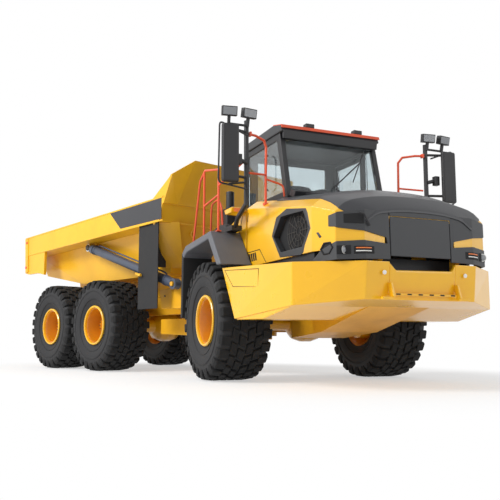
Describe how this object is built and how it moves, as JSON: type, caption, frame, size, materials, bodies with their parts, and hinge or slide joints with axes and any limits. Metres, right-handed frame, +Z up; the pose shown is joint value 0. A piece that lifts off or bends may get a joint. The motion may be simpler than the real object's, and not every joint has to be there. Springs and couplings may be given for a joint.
{
  "type": "articulated dump truck",
  "caption": "Articulated dump truck: a front unit with cab and hood steers on a rear unit with a bogie, a tipping body and hoist cylinders.",
  "frame": {"origin": "under the middle of the machine, on the ground, with the front unit steered as parked", "axes": "+Y runs from the nose to the tail of the rear unit, -Y is the way it drives, +X is to its left, +Z is up"},
  "size_m": [4.404, 11.1206, 3.76],
  "materials": {
    "yellow_paint": "glossy",
    "body_steel": "satin",
    "charcoal": "satin",
    "fender_plastic": "matte",
    "tyre": "matte",
    "rubber": "matte",
    "cylinder_blue": "satin",
    "rod_chrome": "polished",
    "rail_orange": "satin",
    "glass": "glossy",
    "black_plastic": "matte",
    "cast": "matte"
  },
  "bodies": {
    "rear_unit": {"rear_frame": "yellow_paint", "bogie_beam_left": "yellow_paint", "bogie_beam_right": "yellow_paint", "bogie_front_axle": "yellow_paint", "bogie_rear_axle": "yellow_paint"},
    "dump_body": {"dump_body": "body_steel", "mud_flap_left": "rubber", "mud_flap_right": "rubber"},
    "hoist_barrel_right": {"hoist_barrel_right": "cylinder_blue"},
    "hoist_rod_right": {"hoist_rod_right": "rod_chrome"},
    "steer_barrel_right": {"steer_barrel_right": "cylinder_blue"},
    "steer_rod_right": {"steer_rod_right": "rod_chrome"},
    "hoist_barrel_left": {"hoist_barrel_left": "cylinder_blue"},
    "hoist_rod_left": {"hoist_rod_left": "rod_chrome"},
    "steer_barrel_left": {"steer_barrel_left": "cylinder_blue"},
    "steer_rod_left": {"steer_rod_left": "rod_chrome"},
    "wheel_front_right": {"tyre_front_right": "tyre", "rim_front_right": "yellow_paint"},
    "wheel_front_left": {"tyre_front_left": "tyre", "rim_front_left": "yellow_paint"},
    "wheel_middle_right": {"tyre_middle_right": "tyre", "rim_middle_right": "yellow_paint"},
    "wheel_middle_left": {"tyre_middle_left": "tyre", "rim_middle_left": "yellow_paint"},
    "wheel_rear_right": {"tyre_rear_right": "tyre", "rim_rear_right": "yellow_paint"},
    "wheel_rear_left": {"tyre_rear_left": "tyre", "rim_rear_left": "yellow_paint"},
    "hood": {"hood": "yellow_paint", "handrail_front_left": "rail_orange", "handrail_front_right": "rail_orange"},
    "grille": {"grille": "black_plastic"},
    "cooling_fan": {"cooling_fan": "black_plastic"},
    "cab_door": {"cab_door": "charcoal", "door_glass": "glass"},
    "front_unit": {"bumper": "yellow_paint", "cab_roof": "charcoal", "cab_shell": "charcoal", "cooling_pack": "black_plastic", "deck_left": "black_plastic", "deck_right": "black_plastic", "engine_block": "cast", "exhaust_stack": "charcoal", "fender_left": "fender_plastic", "fender_right": "fender_plastic", "front_axle": "yellow_paint", "front_frame": "yellow_paint", "front_step": "black_plastic", "handrail_rear_left": "rail_orange", "handrail_rear_right": "rail_orange", "hitch": "cast", "mirror_left": "black_plastic", "mirror_post_left": "black_plastic", "mirror_post_right": "black_plastic", "mirror_right": "black_plastic", "seat": "black_plastic", "steering_console": "black_plastic", "window_rear": "glass", "window_right": "glass", "windshield": "glass"}
  },
  "joints": [
    {"name": "steering", "type": "hinge", "parent": "rear_unit", "child": "front_unit", "pos_m": [0.49452, -1.14968, 1.06], "axis": [0, 0, 1], "range_deg": [-26.5, 63.5]},
    {"name": "body_tip", "type": "hinge", "parent": "rear_unit", "child": "dump_body", "pos_m": [0.49452, 4.30032, 1.45], "axis": [-1, 0, 0], "range_deg": [0, 70]},
    {"name": "wheel_front_right_spin", "type": "hinge", "parent": "front_unit", "child": "wheel_front_right", "pos_m": [-1.1907, -2.02625, 0.875], "axis": [0.9483, -0.3173, 0], "continuous": true},
    {"name": "wheel_front_left_spin", "type": "hinge", "parent": "front_unit", "child": "wheel_front_left", "pos_m": [1.31287, -2.86393, 0.875], "axis": [0.9483, -0.3173, 0], "continuous": true},
    {"name": "wheel_middle_right_spin", "type": "hinge", "parent": "rear_unit", "child": "wheel_middle_right", "pos_m": [-0.82548, 1.98532, 0.875], "axis": [1, 0, 0], "continuous": true},
    {"name": "wheel_middle_left_spin", "type": "hinge", "parent": "rear_unit", "child": "wheel_middle_left", "pos_m": [1.81452, 1.98532, 0.875], "axis": [1, 0, 0], "continuous": true},
    {"name": "wheel_rear_right_spin", "type": "hinge", "parent": "rear_unit", "child": "wheel_rear_right", "pos_m": [-0.82548, 3.80532, 0.875], "axis": [1, 0, 0], "continuous": true},
    {"name": "wheel_rear_left_spin", "type": "hinge", "parent": "rear_unit", "child": "wheel_rear_left", "pos_m": [1.81452, 3.80532, 0.875], "axis": [1, 0, 0], "continuous": true},
    {"name": "fan_spin", "type": "hinge", "parent": "front_unit", "child": "cooling_fan", "pos_m": [-1.55474, -4.02819, 1.95], "axis": [0.9483, -0.3173, 0], "continuous": true},
    {"name": "hood_tilt", "type": "hinge", "parent": "front_unit", "child": "hood", "pos_m": [-0.86354, -5.20851, 1.6], "axis": [0.9483, -0.3173, 0], "range_deg": [0, 50]},
    {"name": "grille_fold", "type": "hinge", "parent": "front_unit", "child": "grille", "pos_m": [-0.87782, -5.25118, 1.56], "axis": [0.9483, -0.3173, 0], "range_deg": [0, 85]},
    {"name": "cab_door_swing", "type": "hinge", "parent": "front_unit", "child": "cab_door", "pos_m": [0.93898, -2.40561, 0], "axis": [0, 0, 1], "range_deg": [0, 70]},
    {"name": "hoist_pivot_right", "type": "hinge", "parent": "rear_unit", "child": "hoist_barrel_right", "pos_m": [-0.80548, -0.16968, 1.56], "axis": [1, 0, 0], "range_deg": [-0.2, 0.683]},
    {"name": "hoist_slide_right", "type": "slide", "parent": "hoist_barrel_right", "child": "hoist_rod_right", "axis": [0, 0.9559, 0.2936], "range_m": [0, 2.0265]},
    {"name": "hoist_pivot_left", "type": "hinge", "parent": "rear_unit", "child": "hoist_barrel_left", "pos_m": [1.79452, -0.16968, 1.56], "axis": [1, 0, 0], "range_deg": [-0.2, 0.683]},
    {"name": "hoist_slide_left", "type": "slide", "parent": "hoist_barrel_left", "child": "hoist_rod_left", "axis": [0, 0.9559, 0.2936], "range_m": [0, 2.0265]},
    {"name": "steer_pivot_right", "type": "hinge", "parent": "front_unit", "child": "steer_barrel_right", "pos_m": [-0.41709, -1.92024, 0.98], "axis": [0, 0, 1], "range_deg": [-15.97, 6.96]},
    {"name": "steer_slide_right", "type": "slide", "parent": "steer_barrel_right", "child": "steer_rod_right", "axis": [0.3817, 0.9243, 0], "range_m": [-0.2129, 0.5032]},
    {"name": "steer_pivot_left", "type": "hinge", "parent": "front_unit", "child": "steer_barrel_left", "pos_m": [0.75883, -2.3137, 0.98], "axis": [0, 0, 1], "range_deg": [-14.66, 6.41]},
    {"name": "steer_slide_left", "type": "slide", "parent": "steer_barrel_left", "child": "steer_rod_left", "axis": [0.0978, 0.9952, 0], "range_m": [-0.534, 0.2258]}
  ],
  "couplings": [
    {"joint": "hoist_pivot_right", "follows": "body_tip", "ratio": 0.0069},
    {"joint": "hoist_slide_right", "follows": "body_tip", "m_per_rad": 1.6505},
    {"joint": "hoist_pivot_left", "follows": "body_tip", "ratio": 0.0069},
    {"joint": "hoist_slide_left", "follows": "body_tip", "m_per_rad": 1.6505},
    {"joint": "steer_pivot_right", "follows": "steering", "ratio": -0.2436},
    {"joint": "steer_slide_right", "follows": "steering", "m_per_rad": 0.4495},
    {"joint": "steer_pivot_left", "follows": "steering", "ratio": -0.223},
    {"joint": "steer_slide_left", "follows": "steering", "m_per_rad": -0.4773}
  ]
}
